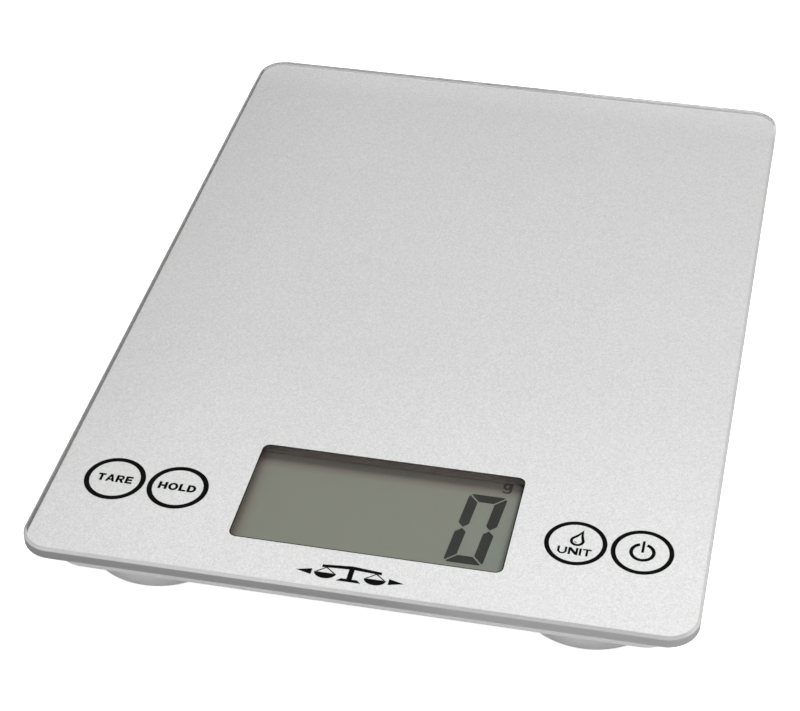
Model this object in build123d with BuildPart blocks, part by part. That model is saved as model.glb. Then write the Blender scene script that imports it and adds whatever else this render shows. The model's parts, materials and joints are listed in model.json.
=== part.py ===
from build123d import *
import os

# Slim glass counter scale. Millimetres, +Z up, +Y away from the user.
# The origin is on the surface that the scale stands on, under the middle of the platform.

# Heights
total_height = 19.0
glass_thickness = 3.8
print_thickness = 0.1
tape_thickness = 0.4
chassis_thickness = 1.2
cover_underside = 7.2
cover_floor = 1.5
glass_bottom = total_height - glass_thickness
print_bottom = glass_bottom - print_thickness
tape_bottom = print_bottom - tape_thickness
chassis_bottom = tape_bottom - chassis_thickness
floor_top = cover_underside + cover_floor

# Glass platform
platform_width = 165.0
platform_length = 232.0
platform_corner = 8.0
glass_arris = 0.76

# Base
base_width = 156.0
base_length = 219.0
base_corner = 9.0
base_wall = 1.6
base_edge_radius = 1.5
cover_rim_gap = 0.2
chassis_clearance = 0.15

# Display window in the print, and the display below it
window_x = 0.3
window_y = -83.35
window_width = 67.8
window_length = 34.5
window_corner = 2.0
display_top = 12.3
display_width = 71.0
display_front = -102.0
display_back = -61.8
contact_ledge = 2.5
polariser_thickness = 0.2
cell_glass_thickness = 0.7

# Touch keys, from left to right
key_y = -86.5
key_positions = (-67.1, -50.8, 49.85, 66.1)
electrode_radius = 5.5
film_thickness = 0.2
electrode_thickness = 0.1

# Main board
board_top = 10.4
board_thickness = 0.8
board_width = 68.0
board_front = -106.6
board_back = -42.0
board_screw_x = 31.0
board_screw_front = -104.4
board_screw_back = -45.0

# Feet and load cells, one set at each corner
foot_x = 54.7
foot_y = 86.8
foot_radius = 19.8
foot_top = 6.6
foot_bottom = 0.6
foot_floor_top = 2.8
foot_wall = 1.6
foot_edge_radius = 2.0
foot_column_radius = 3.5
pad_radius = 14.4
pad_height = 1.4
pad_chamfer = 0.4
well_radius = 15.1
cell_size = 25.0
cell_corner = 3.0
cell_thickness = 2.0
cell_frame = 3.0
tongue_width = 9.0
tongue_reach = 4.5
holder_radius = 17.9
holder_wall = 1.0
holder_roof = 1.2

# Battery bay
bay_y = 30.0
coin_radius = 10.0
coin_height = 3.2
coin_spacing = 21.2
coin_bottom = 8.9
bay_width = 42.8
bay_front = 19.6
bay_back = 40.6
bay_roof = 12.5
bay_wall = 1.5
door_thickness = 1.2
door_gap = 0.3
hinge_y = 43.2
hinge_z = 8.5
hinge_radius = 1.3
hinge_pin_radius = 0.8
hinge_hole_radius = 0.85
door_width = 45.8
door_front = 17.5
latch_width = 8.0

# Fasteners
screw_head_radius = 2.0
screw_head_height = 1.2
screw_shank_radius = 1.0
cover_screw_x = 66.0
cover_screw_pitch = 46.0
rear_screw_x = 18.0
rear_screw_y = 101.0
post_radius = 3.0
board_post_radius = 2.0

corners = {
    "front_left": (-1, -1),
    "front_right": (1, -1),
    "rear_left": (-1, 1),
    "rear_right": (1, 1),
}
cell_bottom = floor_top
cell_top = cell_bottom + cell_thickness
cover_screw_places = [
    (side * cover_screw_x, row * cover_screw_pitch) for side in (-1, 1) for row in (-1, 0, 1)
]
cover_screw_places += [(side * rear_screw_x, rear_screw_y) for side in (-1, 1)]
board_screw_places = [
    (side * board_screw_x, y) for side in (-1, 1) for y in (board_screw_front, board_screw_back)
]

os.makedirs("parts", exist_ok=True)


def level(z):
    """Horizontal plane at height z."""
    return Plane.XY.offset(z)


def corner_level(corner, z):
    """Horizontal plane over a foot's centre, its +Y towards the middle of the scale."""
    side, end = corners[corner]
    return Plane(origin=(side * foot_x, end * foot_y, z), x_dir=(-end, 0, 0), z_dir=(0, 0, 1))


def corner_section(corner):
    """Upright plane through a foot's axis: local X is the radius and local Y the height."""
    side, end = corners[corner]
    return Plane(origin=(side * foot_x, end * foot_y, 0), x_dir=(1, 0, 0), z_dir=(0, -1, 0))


def corner_axis(corner):
    side, end = corners[corner]
    return Axis((side * foot_x, end * foot_y, 0), (0, 0, 1))


def base_outline(inset):
    """Rounded outline of the base, moved inwards by inset."""
    RectangleRounded(base_width - 2 * inset, base_length - 2 * inset, base_corner - inset)


def rectangle_between(x0, x1, y0, y1, mode=Mode.ADD):
    """Sketch rectangle from its corner coordinates."""
    with Locations(((x0 + x1) / 2, (y0 + y1) / 2)):
        Rectangle(x1 - x0, y1 - y0, mode=mode)


def block(x0, x1, y0, y1, z0, z1, mode=Mode.ADD):
    """Box from its corner coordinates."""
    with Locations(((x0 + x1) / 2, (y0 + y1) / 2, (z0 + z1) / 2)):
        Box(x1 - x0, y1 - y0, z1 - z0, mode=mode)


# ---------------------------------------------------------------- platform

with BuildPart() as glass_platform:
    with BuildSketch(level(glass_bottom)):
        RectangleRounded(platform_width, platform_length, platform_corner)
    extrude(amount=glass_thickness)
    broad_faces = glass_platform.faces().filter_by(Axis.Z)
    chamfer(broad_faces.edges(), length=glass_arris)
glass_platform.part.label = "glass_platform"
export_step(glass_platform.part, "parts/glass_platform.step")

with BuildPart() as printed_backing:
    with BuildSketch(level(print_bottom)):
        RectangleRounded(
            platform_width - 2 * glass_arris,
            platform_length - 2 * glass_arris,
            platform_corner - glass_arris,
        )
        with Locations((window_x, window_y)):
            RectangleRounded(window_width, window_length, window_corner, mode=Mode.SUBTRACT)
    extrude(amount=print_thickness)
printed_backing.part.label = "printed_backing"
export_step(printed_backing.part, "parts/printed_backing.step")

# Flexible touch film under each pair of keys, with a tail that drops to the board.
film_inner_x = 40.0
film_outer_x = 72.6
film_front = -93.5
film_back = -79.5
tail_width = 6.0
tail_y = -54.5
tail_x = 26.5
tail_drop_end = 12.6
film_margin = 0.5


def touch_film_outline(side, margin=0.0):
    """Key area, then a tail that runs back beside the display and in over the board."""
    key_ends = sorted((side * (film_inner_x - margin), side * (film_outer_x + margin)))
    rectangle_between(*key_ends, film_front - margin, film_back + margin)
    neck_ends = sorted((side * (film_inner_x - margin), side * (film_inner_x + tail_width + margin)))
    rectangle_between(*neck_ends, film_back - margin, tail_y + tail_width / 2 + margin)
    tail_ends = sorted((side * (tail_x - margin), side * (film_inner_x + margin)))
    rectangle_between(*tail_ends, tail_y - tail_width / 2 - margin, tail_y + tail_width / 2 + margin)


film_top = print_bottom - electrode_thickness
for side, side_name in ((-1, "left"), (1, "right")):
    with BuildPart() as touch_film:
        with BuildSketch(level(film_top - film_thickness)):
            touch_film_outline(side)
        extrude(amount=film_thickness)
        drop_ends = sorted((side * tail_x, side * (tail_x + film_thickness)))
        block(
            *drop_ends, tail_y - tail_width / 2, tail_y + tail_width / 2, tail_drop_end, film_top
        )
    touch_film.part.label = f"touch_film_{side_name}"
    export_step(touch_film.part, f"parts/touch_film_{side_name}.step")

with BuildPart() as touch_electrodes:
    with BuildSketch(level(film_top)):
        with Locations([(x, key_y) for x in key_positions]):
            Circle(electrode_radius)
    extrude(amount=electrode_thickness)
touch_electrodes.part.label = "touch_electrodes"
export_step(touch_electrodes.part, "parts/touch_electrodes.step")

# Double-sided tape round the rim of the chassis, cut away where the touch films lie.
tape_inset = 2.2
tape_width = 7.0
with BuildPart() as bonding_tape:
    with BuildSketch(level(tape_bottom)):
        base_outline(tape_inset)
        with BuildSketch(mode=Mode.SUBTRACT):
            tape_hole_width = base_width - 2 * (tape_inset + tape_width)
            tape_hole_length = base_length - 2 * (tape_inset + tape_width)
            Rectangle(tape_hole_width, tape_hole_length)
            touch_film_outline(-1, film_margin)
            touch_film_outline(1, film_margin)
            film_to_edge = base_width - 2 * tape_inset
            rectangle_between(
                -film_to_edge / 2, film_to_edge / 2, film_front - film_margin, film_back + film_margin
            )
    extrude(amount=tape_thickness)
bonding_tape.part.label = "bonding_tape"
export_step(bonding_tape.part, "parts/bonding_tape.step")

# ---------------------------------------------------------------- base

chassis_inset = base_wall + chassis_clearance
post_bottom = 10.2
pilot_depth = 4.1
view_hole_x = 35.0
view_hole_front = -101.6
view_hole_back = -61.6
lip_height = 1.6
lip_width = 1.2
tail_slot = 1.6
tail_slot_margin = 1.0
lip_end_gap = 2.0
board_pilot_depth = 3.1

with BuildPart() as chassis:
    with BuildSketch(level(chassis_bottom)):
        base_outline(chassis_inset)
        rectangle_between(-view_hole_x, view_hole_x, view_hole_front, view_hole_back, Mode.SUBTRACT)
        for side in (-1, 1):
            slot_ends = sorted((side * (tail_x - tail_slot), side * (tail_x + tail_slot)))
            slot_reach = tail_width / 2 + tail_slot_margin
            rectangle_between(*slot_ends, tail_y - slot_reach, tail_y + slot_reach, Mode.SUBTRACT)
    extrude(amount=chassis_thickness)
    # Stiffening lip along the two long sides, between the feet
    lip_length = 2 * (foot_y - holder_radius - lip_end_gap)
    lip_x = base_width / 2 - chassis_inset - lip_width / 2
    with BuildSketch(level(chassis_bottom - lip_height)):
        with Locations((-lip_x, 0), (lip_x, 0)):
            Rectangle(lip_width, lip_length)
    extrude(amount=lip_height)
    with BuildSketch(level(post_bottom)):
        with Locations(cover_screw_places):
            Circle(post_radius)
    extrude(until=Until.NEXT)
    with BuildSketch(level(board_top)):
        with Locations(board_screw_places):
            Circle(board_post_radius)
    extrude(until=Until.NEXT)
    with BuildSketch(level(post_bottom)):
        with Locations(cover_screw_places):
            Circle(screw_shank_radius)
    extrude(amount=pilot_depth, mode=Mode.SUBTRACT)
    with BuildSketch(level(board_top)):
        with Locations(board_screw_places):
            Circle(screw_shank_radius)
    extrude(amount=board_pilot_depth, mode=Mode.SUBTRACT)
chassis.part.label = "chassis"
export_step(chassis.part, "parts/chassis.step")

cover_rim = print_bottom - cover_rim_gap
head_recess_gap = 0.2
head_seat = cover_underside + screw_head_height + head_recess_gap
boss_radius = 3.2
door_recess_gap = 0.1
head_recess_radius = 2.3
screw_clearance_radius = 1.2
recess_front = door_front - door_gap
recess_back = hinge_y + hinge_radius + door_gap
recess_half_width = door_width / 2 + door_gap
door_recess_top = cover_underside + door_thickness + door_recess_gap
hinge_recess_top = hinge_z + hinge_radius + door_gap
hinge_recess_front = hinge_y - hinge_radius - door_gap
catch_height = 0.35
catch_reach = 0.35
catch_root = 0.1
catch_half = 3.5
latch_pocket_front = recess_front - 0.3
latch_pocket_top = 10.8
hinge_pin_length = 1.2
scoop_radius = 7.0
scoop_depth = 0.7
contact_slot_x = 6.0
contact_slot_width = 3.4
negative_slot_bottom = 12.1
positive_slot_bottom = 11.45
positive_slot_top = 12.05

with BuildPart() as bottom_cover:
    with BuildSketch(level(cover_underside)):
        base_outline(0)
    extrude(amount=cover_rim - cover_underside)
    fillet(bottom_cover.faces().sort_by(Axis.Z)[0].edges(), radius=base_edge_radius)
    with BuildSketch(level(floor_top)):
        base_outline(base_wall)
    extrude(amount=cover_rim - floor_top, mode=Mode.SUBTRACT)
    # Screw bosses and the battery bay stand on the floor
    with BuildSketch(level(floor_top)):
        with Locations(cover_screw_places):
            Circle(boss_radius)
    extrude(amount=post_bottom - floor_top)
    block(
        -recess_half_width - bay_wall,
        recess_half_width + bay_wall,
        recess_front - bay_wall,
        recess_back + bay_wall,
        floor_top,
        chassis_bottom,
    )
    # Door recess, coin bay and hinge trough
    block(
        -recess_half_width,
        recess_half_width,
        recess_front,
        recess_back,
        cover_underside,
        door_recess_top,
        Mode.SUBTRACT,
    )
    block(-bay_width / 2, bay_width / 2, bay_front, bay_back, door_recess_top, bay_roof, Mode.SUBTRACT)
    block(
        -recess_half_width,
        recess_half_width,
        hinge_recess_front,
        recess_back,
        door_recess_top,
        hinge_recess_top,
        Mode.SUBTRACT,
    )
    block(
        -latch_width / 2 - door_gap,
        latch_width / 2 + door_gap,
        latch_pocket_front,
        bay_front,
        door_recess_top,
        latch_pocket_top,
        Mode.SUBTRACT,
    )
    block(
        -catch_half,
        catch_half,
        recess_front - catch_root,
        recess_front + catch_reach,
        door_recess_top - catch_height,
        door_recess_top,
    )
    # Hinge pin holes, one in each side wall
    for side in (-1, 1):
        with BuildSketch(Plane(origin=(side * recess_half_width, hinge_y, hinge_z), z_dir=(side, 0, 0))):
            Circle(hinge_hole_radius)
        extrude(amount=hinge_pin_length, mode=Mode.SUBTRACT)
    # Slots that let the contact tails out of the bay
    slot_half = contact_slot_width / 2
    block(
        -contact_slot_x - slot_half,
        -contact_slot_x + slot_half,
        recess_front - bay_wall,
        bay_front,
        negative_slot_bottom,
        bay_roof,
        Mode.SUBTRACT,
    )
    block(
        contact_slot_x - slot_half,
        contact_slot_x + slot_half,
        recess_front - bay_wall,
        bay_front,
        positive_slot_bottom,
        positive_slot_top,
        Mode.SUBTRACT,
    )
    # Thumb scoop beside the door latch
    with BuildSketch(level(cover_underside)):
        with Locations((0, recess_front)):
            Circle(scoop_radius)
        scoop_end = recess_front + scoop_radius
        rectangle_between(-scoop_radius, scoop_radius, recess_front, scoop_end, Mode.SUBTRACT)
    extrude(amount=scoop_depth, mode=Mode.SUBTRACT)
    # Open wells over the feet
    for corner in corners:
        with BuildSketch(corner_level(corner, cover_underside)):
            Circle(well_radius)
        extrude(amount=cover_floor, mode=Mode.SUBTRACT)
    with BuildSketch(level(cover_underside)):
        with Locations(cover_screw_places):
            Circle(head_recess_radius)
    extrude(amount=head_seat - cover_underside, mode=Mode.SUBTRACT)
    with BuildSketch(level(head_seat)):
        with Locations(cover_screw_places):
            Circle(screw_clearance_radius)
    extrude(amount=post_bottom - head_seat, mode=Mode.SUBTRACT)
bottom_cover.part.label = "bottom_cover"
export_step(bottom_cover.part, "parts/bottom_cover.step")

drive_length = 2.2
drive_width = 0.5
drive_depth = 0.5
screw_fit = 0.02
cover_screw_shank = 5.4
board_screw_shank = 3.6


def screw_set(places, head_z, head_height, shank_length):
    """Cross-head screws that point upwards, their head undersides at head_z + head_height."""
    with BuildPart() as screws:
        with BuildSketch(level(head_z)):
            with Locations(places):
                Circle(screw_head_radius)
        extrude(amount=head_height)
        with BuildSketch(level(head_z + head_height)):
            with Locations(places):
                Circle(screw_shank_radius - screw_fit)
        extrude(amount=shank_length)
        with BuildSketch(level(head_z)):
            with Locations(places):
                Rectangle(drive_length, drive_width)
                Rectangle(drive_width, drive_length)
        extrude(amount=drive_depth * head_height, mode=Mode.SUBTRACT)
    return screws


cover_head_z = head_seat - screw_head_height
cover_screws = screw_set(cover_screw_places, cover_head_z, screw_head_height, cover_screw_shank)
cover_screws.part.label = "cover_screws"
export_step(cover_screws.part, "parts/cover_screws.step")

board_screw_head = 0.8
board_bottom = board_top - board_thickness
board_head_z = board_bottom - board_screw_head
board_screws = screw_set(board_screw_places, board_head_z, board_screw_head, board_screw_shank)
board_screws.part.label = "board_screws"
export_step(board_screws.part, "parts/board_screws.step")

# ---------------------------------------------------------------- display

display_half = display_width / 2
polariser_bottom = display_top - polariser_thickness
front_glass_bottom = polariser_bottom - cell_glass_thickness
rear_glass_bottom = front_glass_bottom - cell_glass_thickness
reflector_bottom = rear_glass_bottom - polariser_thickness
ledge_y = display_front + contact_ledge

with BuildPart() as lcd_polariser:
    block(-display_half, display_half, ledge_y, display_back, polariser_bottom, display_top)
lcd_polariser.part.label = "lcd_polariser"
export_step(lcd_polariser.part, "parts/lcd_polariser.step")

with BuildPart() as lcd_front_glass:
    block(-display_half, display_half, display_front, display_back, front_glass_bottom, polariser_bottom)
lcd_front_glass.part.label = "lcd_front_glass"
export_step(lcd_front_glass.part, "parts/lcd_front_glass.step")

with BuildPart() as lcd_rear_glass:
    block(-display_half, display_half, ledge_y, display_back, rear_glass_bottom, front_glass_bottom)
lcd_rear_glass.part.label = "lcd_rear_glass"
export_step(lcd_rear_glass.part, "parts/lcd_rear_glass.step")

with BuildPart() as lcd_reflector:
    block(-display_half, display_half, ledge_y, display_back, reflector_bottom, rear_glass_bottom)
lcd_reflector.part.label = "lcd_reflector"
export_step(lcd_reflector.part, "parts/lcd_reflector.step")

strip_gap = 0.3
strip_half = 33.5
with BuildPart() as zebra_strip:
    block(
        -strip_half,
        strip_half,
        display_front + strip_gap,
        ledge_y - strip_gap,
        board_top,
        front_glass_bottom,
    )
zebra_strip.part.label = "zebra_strip"
export_step(zebra_strip.part, "parts/zebra_strip.step")

carrier_half = 35.9
carrier_opening_half = 34.7
carrier_opening_front = -101.2
carrier_opening_back = -62.2
carrier_post_hole = 2.2
carrier_front = -103.4
carrier_back = -60.4
carrier_rail = 1.2
front_rail_half = 28.0
rear_rail_half = 33.9
with BuildPart() as lcd_carrier:
    with BuildSketch(level(display_top)):
        rectangle_between(-carrier_half, carrier_half, carrier_front, carrier_back)
        rectangle_between(
            -carrier_opening_half,
            carrier_opening_half,
            carrier_opening_front,
            carrier_opening_back,
            Mode.SUBTRACT,
        )
        with Locations(board_screw_places):
            Circle(carrier_post_hole, mode=Mode.SUBTRACT)
    extrude(amount=chassis_bottom - display_top)
    block(
        -front_rail_half,
        front_rail_half,
        carrier_front,
        carrier_front + carrier_rail,
        board_top,
        display_top,
    )
    block(
        -rear_rail_half,
        rear_rail_half,
        carrier_back - carrier_rail,
        carrier_back,
        board_top,
        display_top,
    )
lcd_carrier.part.label = "lcd_carrier"
export_step(lcd_carrier.part, "parts/lcd_carrier.step")

# ---------------------------------------------------------------- electronics

board_hole_radius = 1.2
with BuildPart() as main_board:
    with BuildSketch(level(board_bottom)):
        rectangle_between(-board_width / 2, board_width / 2, board_front, board_back)
        with Locations(board_screw_places):
            Circle(board_hole_radius, mode=Mode.SUBTRACT)
    extrude(amount=board_thickness)
main_board.part.label = "main_board"
export_step(main_board.part, "parts/main_board.step")

chip_radius = 5.5
chip_height = 1.3
chip_shoulder_radius = 3.3
chip_shoulder_height = 0.936
chip_y = -52.0
with BuildPart() as controller_chip:
    with BuildSketch(Plane(origin=(0, chip_y, board_top), x_dir=(1, 0, 0), z_dir=(0, -1, 0))):
        with BuildLine():
            crown = (0, chip_height)
            rim = (chip_radius, 0)
            middle = (chip_shoulder_radius, chip_shoulder_height)
            ThreePointArc(crown, middle, rim)
            Line(rim, (0, 0))
            Line((0, 0), crown)
        make_face()
    revolve(axis=Axis((0, chip_y, 0), (0, 0, 1)))
controller_chip.part.label = "controller_chip"
export_step(controller_chip.part, "parts/controller_chip.step")

capacitor_width = 1.3
capacitor_length = 2.0
capacitor_height = 1.0
capacitor_columns = (-14.0, -10.5, 10.5, 14.0)
capacitor_rows = (-56.0, -51.0)
capacitor_places = [(x, y) for x in capacitor_columns for y in capacitor_rows]
with BuildPart() as board_capacitors:
    with BuildSketch(level(board_top)):
        with Locations(capacitor_places):
            Rectangle(capacitor_width, capacitor_length)
    extrude(amount=capacitor_height)
board_capacitors.part.label = "board_capacitors"
export_step(board_capacitors.part, "parts/board_capacitors.step")

crystal_place = (-19.2, -50.0)
crystal_length = 8.0
crystal_diameter = 3.2
crystal_height = 2.4
with BuildPart() as clock_crystal:
    with BuildSketch(level(board_top)):
        with Locations(crystal_place):
            SlotOverall(crystal_length, crystal_diameter)
    extrude(amount=crystal_height)
clock_crystal.part.label = "clock_crystal"
export_step(clock_crystal.part, "parts/clock_crystal.step")

connector_top = tail_drop_end
connector_inner = 24.7
connector_outer = 28.5
connector_half = 4.0
with BuildPart() as film_connectors:
    for side in (-1, 1):
        connector_ends = sorted((side * connector_inner, side * connector_outer))
        connector_rows = (tail_y - connector_half, tail_y + connector_half)
        block(*connector_ends, *connector_rows, board_top, connector_top)
film_connectors.part.label = "film_connectors"
export_step(film_connectors.part, "parts/film_connectors.step")

lead_connector_inner = 30.4
lead_connector_top = 12.8
lead_connector_y = (-60.0, -48.0)
with BuildPart() as lead_connectors:
    for side in (-1, 1):
        connector_ends = sorted((side * lead_connector_inner, side * board_width / 2))
        block(*connector_ends, *lead_connector_y, board_top, lead_connector_top)
lead_connectors.part.label = "lead_connectors"
export_step(lead_connectors.part, "parts/lead_connectors.step")

battery_plug_front = -46.0
battery_plug_half = 9.0
with BuildPart() as battery_connector:
    block(
        -battery_plug_half,
        battery_plug_half,
        battery_plug_front,
        board_back,
        board_top,
        lead_connector_top,
    )
battery_connector.part.label = "battery_connector"
export_step(battery_connector.part, "parts/battery_connector.step")

# ---------------------------------------------------------------- batteries

coin_step = 1.0
coin_rim = 0.35
coin_top = coin_bottom + coin_height
for side, side_name in ((-1, "left"), (1, "right")):
    with BuildPart() as coin_cell:
        with BuildSketch(Plane(origin=(side * coin_spacing / 2, bay_y, coin_bottom))):
            Circle(coin_radius)
        extrude(amount=coin_height - coin_rim)
        with BuildSketch(Plane(origin=(side * coin_spacing / 2, bay_y, coin_top - coin_rim))):
            Circle(coin_radius - coin_step)
        extrude(amount=coin_rim)
        chamfer(coin_cell.edges().group_by(Axis.Z)[0], length=coin_rim)
    coin_cell.part.label = f"coin_cell_{side_name}"
    export_step(coin_cell.part, f"parts/coin_cell_{side_name}.step")

contact_thickness = 0.25
contact_gap = 0.05
contact_top = bay_roof - contact_gap
contact_plate_reach = 4.0
contact_tail_root = 3.0
contact_half = 15.5
tail_end_y = 13.5
contact_tail_half = 1.5
with BuildPart() as battery_contact_negative:
    block(
        -contact_half,
        contact_half,
        bay_y - contact_plate_reach,
        bay_y + contact_plate_reach,
        contact_top - contact_thickness,
        contact_top,
    )
    block(
        -contact_slot_x - contact_tail_half,
        -contact_slot_x + contact_tail_half,
        tail_end_y,
        bay_y - contact_tail_root,
        contact_top - contact_thickness,
        contact_top,
    )
battery_contact_negative.part.label = "battery_contact_negative"
export_step(battery_contact_negative.part, "parts/battery_contact_negative.step")

positive_tail_bottom = 11.6
positive_plate_front = bay_front + contact_gap
positive_plate_back = positive_plate_front + contact_thickness
positive_plate_low = 9.2
positive_plate_high = 12.0
positive_tail_root = bay_front + 0.2
with BuildPart() as battery_contact_positive:
    block(
        -contact_half,
        contact_half,
        positive_plate_front,
        positive_plate_back,
        positive_plate_low,
        positive_plate_high,
    )
    block(
        contact_slot_x - contact_tail_half,
        contact_slot_x + contact_tail_half,
        tail_end_y,
        positive_tail_root,
        positive_tail_bottom,
        positive_tail_bottom + contact_thickness,
    )
battery_contact_positive.part.label = "battery_contact_positive"
export_step(battery_contact_positive.part, "parts/battery_contact_positive.step")

battery_wire_radius = 0.5
wire_overlap = 1.0
wire_bend = 8.0
wire_detour = 4.0
wire_entry = 1.0
wire_straight_end = 2.0
wire_detour_y = -12.0
wire_entry_y = -28.0
negative_wire_z = contact_top - contact_thickness - battery_wire_radius
positive_wire_z = positive_tail_bottom - battery_wire_radius
for side, sign_name, wire_z in ((-1, "negative", negative_wire_z), (1, "positive", positive_wire_z)):
    with BuildPart() as battery_wire:
        with BuildLine(level(wire_z)) as wire_route:
            FilletPolyline(
                (side * contact_slot_x, tail_end_y + wire_overlap),
                (side * contact_slot_x, wire_straight_end),
                (side * (contact_slot_x + wire_detour), wire_detour_y),
                (side * (contact_slot_x + wire_entry), wire_entry_y),
                (side * (contact_slot_x + wire_entry), board_back),
                radius=wire_bend,
            )
        with BuildSketch(Plane(wire_route.line @ 0, z_dir=wire_route.line % 0)):
            Circle(battery_wire_radius)
        sweep()
    battery_wire.part.label = f"battery_wire_{sign_name}"
    export_step(battery_wire.part, f"parts/battery_wire_{sign_name}.step")

door_top = cover_underside + door_thickness
door_half = door_width / 2
latch_tab = 1.0
latch_front = 18.2
latch_root = 0.2
latch_side_gap = 0.3
hook_bottom = door_recess_top + 0.05
hook_top = hook_bottom + 0.55
hook_tip = recess_front + 0.07
coin_rib_width = 1.2
coin_rib_height = 0.4
grip_count = 4
grip_pitch = 1.6
grip_start = 20.6
grip_length = 12.4
grip_width = 0.7
grip_depth = 0.35
with BuildPart() as battery_door:
    block(-door_half, door_half, door_front, hinge_y, cover_underside, door_top)
    block(
        -latch_width / 2,
        latch_width / 2,
        door_front,
        latch_front,
        cover_underside,
        door_top,
        Mode.SUBTRACT,
    )
    with BuildSketch(Plane(origin=(-door_half, hinge_y, hinge_z), z_dir=(1, 0, 0))):
        Circle(hinge_radius)
    extrude(amount=door_width)
    with BuildSketch(Plane(origin=(-door_half - hinge_pin_length, hinge_y, hinge_z), z_dir=(1, 0, 0))):
        Circle(hinge_pin_radius)
    extrude(amount=door_width + 2 * hinge_pin_length)
    # Latch tab with its hook, and the ribs that keep the coin cells in place
    tab_half = latch_width / 2 - latch_side_gap
    tab_back = latch_front + latch_tab
    block(-tab_half, tab_half, latch_front, tab_back, door_top - latch_root, hook_top)
    block(-tab_half, tab_half, hook_tip, latch_front + latch_root, hook_bottom, hook_top)
    for side in (-1, 1):
        with Locations((side * coin_spacing / 2, bay_y, door_top + coin_rib_height / 2)):
            Box(coin_radius, coin_rib_width, coin_rib_height)
    # Finger grooves in the outer face
    with BuildSketch(level(cover_underside)):
        with Locations([(0, grip_start + row * grip_pitch) for row in range(grip_count)]):
            SlotOverall(grip_length, grip_width)
    extrude(amount=grip_depth, mode=Mode.SUBTRACT)
battery_door.part.label = "battery_door"
export_step(battery_door.part, "parts/battery_door.step")

# ---------------------------------------------------------------- feet and load cells

leg_inner = 13.3
leg_outer = 14.6
leg_width = 5.0
hook_outer = 15.9
foot_hook_bottom = floor_top + 0.1
foot_hook_height = 1.0
rib_width = 1.2
rib_height = 2.2
groove_radius = 9.0
groove_width = 1.2
groove_depth = 0.4
pad_seat = 0.3
rib_overlap = 0.6
tongue_overlap = 1.0
press_width = 2.4
notch_width = 5.0
notch_depth = 4.0

for corner in corners:
    with BuildPart() as foot_cup:
        with BuildSketch(corner_section(corner)):
            with BuildLine():
                Polyline(
                    (foot_radius - foot_edge_radius, foot_bottom),
                    (pad_radius + pad_seat, foot_bottom),
                    (pad_radius + pad_seat, pad_height),
                    (0, pad_height),
                    (0, floor_top),
                    (foot_column_radius, floor_top),
                    (foot_column_radius, foot_floor_top),
                    (foot_radius - foot_wall, foot_floor_top),
                    (foot_radius - foot_wall, foot_top),
                    (foot_radius, foot_top),
                    (foot_radius, foot_bottom + foot_edge_radius),
                )
                CenterArc(
                    (foot_radius - foot_edge_radius, foot_bottom + foot_edge_radius),
                    foot_edge_radius,
                    270,
                    90,
                )
            make_face()
        revolve(axis=corner_axis(corner))
        with BuildSketch(corner_level(corner, foot_floor_top)):
            with PolarLocations((foot_column_radius + foot_radius - foot_wall) / 2, 4, start_angle=45):
                Rectangle(foot_radius - foot_wall - foot_column_radius + rib_overlap, rib_width)
        extrude(amount=rib_height)
        with BuildSketch(corner_level(corner, foot_floor_top)):
            with PolarLocations((leg_inner + leg_outer) / 2, 4):
                Rectangle(leg_outer - leg_inner, leg_width)
        extrude(amount=foot_hook_bottom + foot_hook_height - foot_floor_top)
        with BuildSketch(corner_level(corner, foot_hook_bottom)):
            with PolarLocations((leg_inner + hook_outer) / 2, 4):
                Rectangle(hook_outer - leg_inner, leg_width)
        extrude(amount=foot_hook_height)
    foot_cup.part.label = f"foot_cup_{corner}"
    export_step(foot_cup.part, f"parts/foot_cup_{corner}.step")

    with BuildPart() as foot_pad:
        with BuildSketch(corner_level(corner, 0)):
            Circle(pad_radius)
        extrude(amount=pad_height)
        chamfer(foot_pad.edges().group_by(Axis.Z)[0], length=pad_chamfer)
        with BuildSketch(corner_level(corner, 0)):
            Circle(groove_radius + groove_width)
            Circle(groove_radius, mode=Mode.SUBTRACT)
        extrude(amount=groove_depth, mode=Mode.SUBTRACT)
    foot_pad.part.label = f"foot_pad_{corner}"
    export_step(foot_pad.part, f"parts/foot_pad_{corner}.step")

    with BuildPart() as load_cell:
        with BuildSketch(corner_level(corner, cell_bottom)):
            RectangleRounded(cell_size, cell_size, cell_corner)
            cell_inner = cell_size - 2 * cell_frame
            Rectangle(cell_inner, cell_inner, mode=Mode.SUBTRACT)
            tongue_root = cell_size / 2 - tongue_overlap
            rectangle_between(-tongue_width / 2, tongue_width / 2, -tongue_reach, tongue_root)
        extrude(amount=cell_thickness)
    load_cell.part.label = f"load_cell_{corner}"
    export_step(load_cell.part, f"parts/load_cell_{corner}.step")

    with BuildPart() as cell_holder:
        with BuildSketch(corner_level(corner, floor_top)):
            Circle(holder_radius)
        extrude(amount=chassis_bottom - floor_top)
        with BuildSketch(corner_level(corner, floor_top)):
            Circle(holder_radius - holder_wall)
        extrude(amount=chassis_bottom - holder_roof - floor_top, mode=Mode.SUBTRACT)
        # Pads that press on the frame of the load cell, clear of its tongue
        with BuildSketch(corner_level(corner, cell_top)):
            with Locations((-(cell_size - cell_frame) / 2, 0), ((cell_size - cell_frame) / 2, 0)):
                Rectangle(press_width, cell_size - 2 * cell_corner)
        extrude(amount=chassis_bottom - cell_top)
        # Notch for the lead
        with BuildSketch(corner_level(corner, cell_top)):
            with Locations((0, holder_radius)):
                Rectangle(notch_width, notch_depth)
        extrude(amount=chassis_bottom - holder_roof - cell_top, mode=Mode.SUBTRACT)
    cell_holder.part.label = f"cell_holder_{corner}"
    export_step(cell_holder.part, f"parts/cell_holder_{corner}.step")

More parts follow.
